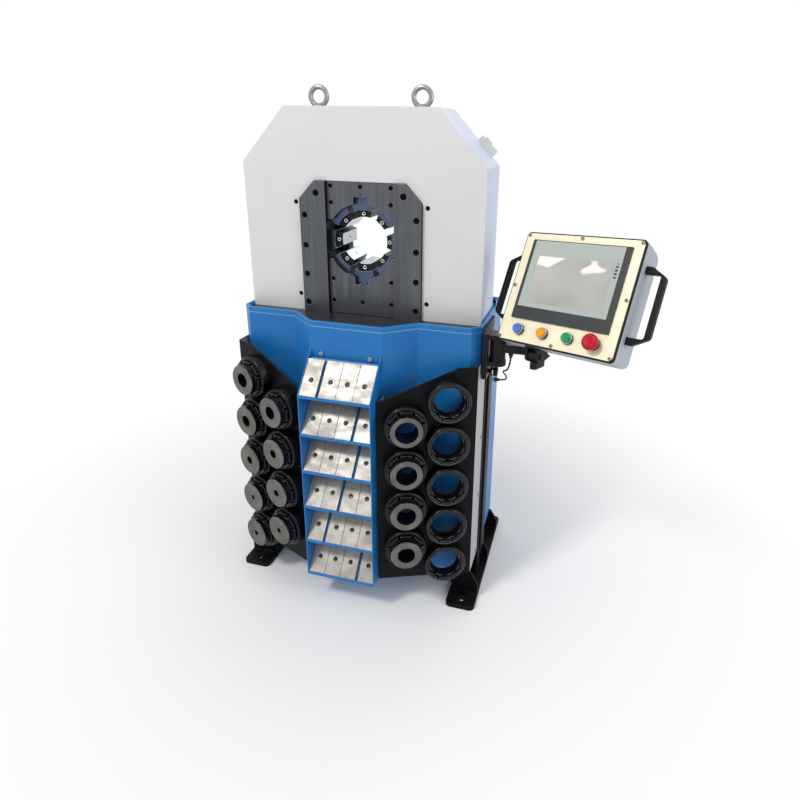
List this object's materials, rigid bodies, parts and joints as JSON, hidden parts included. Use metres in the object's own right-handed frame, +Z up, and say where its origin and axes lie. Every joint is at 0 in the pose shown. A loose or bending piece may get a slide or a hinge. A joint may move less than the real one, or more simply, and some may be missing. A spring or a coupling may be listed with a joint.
{
  "type": "hose crimping machine",
  "caption": "Floor-standing hydraulic hose crimper with a radial die head, a cabinet with die racks on its front and a swinging touch-screen control box.",
  "frame": {"origin": "on the floor at the centre of the four floor bolts", "axes": "+Z up, -Y to the front where the hose goes in, +X to the operator's right"},
  "size_m": [1.1871, 0.5958, 1.488],
  "materials": {
    "blue_paint": "semi-gloss",
    "black_paint": "satin",
    "head_paint": "satin",
    "dark_steel": "oiled",
    "ground_steel": "ground",
    "tool_steel": "machined",
    "black_steel": "blackened",
    "bright_steel": "polished",
    "cast_steel": "painted",
    "panel_steel": "satin",
    "box_paint": "satin",
    "seal_rubber": "matt",
    "bezel_plastic": "fine texture",
    "handle_plastic": "matt",
    "blue_plastic": "gloss",
    "orange_plastic": "gloss",
    "green_plastic": "gloss",
    "red_plastic": "gloss",
    "cable_jacket": "matt"
  },
  "bodies": {
    "machine": {"cabinet_shell": "blue_paint", "rear_cover": "blue_paint", "left_foot": "black_paint", "right_foot": "black_paint", "tray_rim": "blue_paint", "tray_floor": "dark_steel", "head_casing": "head_paint", "press_frame": "cast_steel", "upper_beam": "ground_steel", "upper_plates": "dark_steel", "guide_rails": "dark_steel", "frame_screws": "black_steel", "eye_bolts": "bright_steel", "hydraulic_cylinder": "cast_steel", "motor_pump": "cast_steel", "oil_tank": "blue_paint", "valve_block": "ground_steel", "limit_switch": "handle_plastic", "block_rack": "blue_paint", "die_blocks": "ground_steel", "left_die_rack": "black_paint", "right_die_rack": "black_paint", "die_rings": "black_steel", "die_segments": "tool_steel", "arm_bracket": "black_paint", "control_cable": "cable_jacket", "master_die_top": "tool_steel", "die_insert_top": "black_steel"},
    "ram": {"lower_slide": "ground_steel", "lower_plates": "dark_steel", "slide_screws": "black_steel", "piston_rod": "bright_steel", "master_die_bottom": "tool_steel", "die_insert_bottom": "black_steel"},
    "die_right": {"master_die_right": "tool_steel", "die_insert_right": "black_steel"},
    "die_left": {"master_die_left": "tool_steel", "die_insert_left": "black_steel"},
    "die_top_right": {"master_die_top_right": "tool_steel", "die_insert_top_right": "black_steel"},
    "die_top_left": {"master_die_top_left": "tool_steel", "die_insert_top_left": "black_steel"},
    "die_bottom_right": {"master_die_bottom_right": "tool_steel", "die_insert_bottom_right": "black_steel"},
    "die_bottom_left": {"master_die_bottom_left": "tool_steel", "die_insert_bottom_left": "black_steel"},
    "arm": {"swing_arm": "black_paint"},
    "panel": {"tilt_bracket": "black_paint", "control_box": "box_paint", "front_panel": "panel_steel", "panel_gasket": "seal_rubber", "panel_handles": "handle_plastic", "touch_screen": "bezel_plastic", "button_rings": "bright_steel", "panel_screws": "bright_steel"},
    "knob": {"clamp_knob": "handle_plastic"},
    "blue_push": {"blue_button": "blue_plastic"},
    "orange_push": {"orange_button": "orange_plastic"},
    "green_push": {"green_button": "green_plastic"},
    "stop_push": {"stop_button": "red_plastic"}
  },
  "joints": [
    {"name": "ram_lift", "type": "slide", "parent": "machine", "child": "ram", "axis": [0, 0, 1], "range_m": [0, 0.042]},
    {"name": "right_die_slide", "type": "slide", "parent": "machine", "child": "die_right", "axis": [-0.7071, 0, 0.7071], "range_m": [0, 0.0297]},
    {"name": "left_die_slide", "type": "slide", "parent": "machine", "child": "die_left", "axis": [0.7071, 0, 0.7071], "range_m": [0, 0.0297]},
    {"name": "top_right_die_slide", "type": "slide", "parent": "machine", "child": "die_top_right", "axis": [-0.9239, 0, 0.3827], "range_m": [0, 0.01607]},
    {"name": "top_left_die_slide", "type": "slide", "parent": "machine", "child": "die_top_left", "axis": [0.9239, 0, 0.3827], "range_m": [0, 0.01607]},
    {"name": "bottom_right_die_slide", "type": "slide", "parent": "machine", "child": "die_bottom_right", "axis": [-0.3827, 0, 0.9239], "range_m": [0, 0.0388]},
    {"name": "bottom_left_die_slide", "type": "slide", "parent": "machine", "child": "die_bottom_left", "axis": [0.3827, 0, 0.9239], "range_m": [0, 0.0388]},
    {"name": "arm_swing", "type": "hinge", "parent": "machine", "child": "arm", "pos_m": [0.404, -0.13, 0.8115], "axis": [0, 0, 1], "range_deg": [-60, 30]},
    {"name": "panel_tilt", "type": "hinge", "parent": "arm", "child": "panel", "pos_m": [0.51271, -0.23099, 0.83973], "axis": [0.8726, -0.4835, 0.0693], "range_deg": [-10, 20]},
    {"name": "knob_turn", "type": "hinge", "parent": "machine", "child": "knob", "pos_m": [0.3803, -0.125, 0.742], "axis": [1, 0, 0], "range_deg": [-90, 90]},
    {"name": "blue_press", "type": "slide", "parent": "panel", "child": "blue_push", "axis": [0.4565, 0.7567, -0.4679], "range_m": [0, 0.004], "stiffness_N_per_m": 500, "springref_m": -0.002},
    {"name": "orange_press", "type": "slide", "parent": "panel", "child": "orange_push", "axis": [0.4565, 0.7567, -0.4679], "range_m": [0, 0.004], "stiffness_N_per_m": 500, "springref_m": -0.002},
    {"name": "green_press", "type": "slide", "parent": "panel", "child": "green_push", "axis": [0.4565, 0.7567, -0.4679], "range_m": [0, 0.004], "stiffness_N_per_m": 500, "springref_m": -0.002},
    {"name": "stop_press", "type": "slide", "parent": "panel", "child": "stop_push", "axis": [0.4565, 0.7567, -0.4679], "range_m": [0, 0.006]}
  ],
  "couplings": [
    {"joint": "right_die_slide", "follows": "ram_lift", "ratio": 0.70711},
    {"joint": "left_die_slide", "follows": "ram_lift", "ratio": 0.70711},
    {"joint": "top_right_die_slide", "follows": "ram_lift", "ratio": 0.38268},
    {"joint": "top_left_die_slide", "follows": "ram_lift", "ratio": 0.38268},
    {"joint": "bottom_right_die_slide", "follows": "ram_lift", "ratio": 0.92388},
    {"joint": "bottom_left_die_slide", "follows": "ram_lift", "ratio": 0.92388}
  ]
}
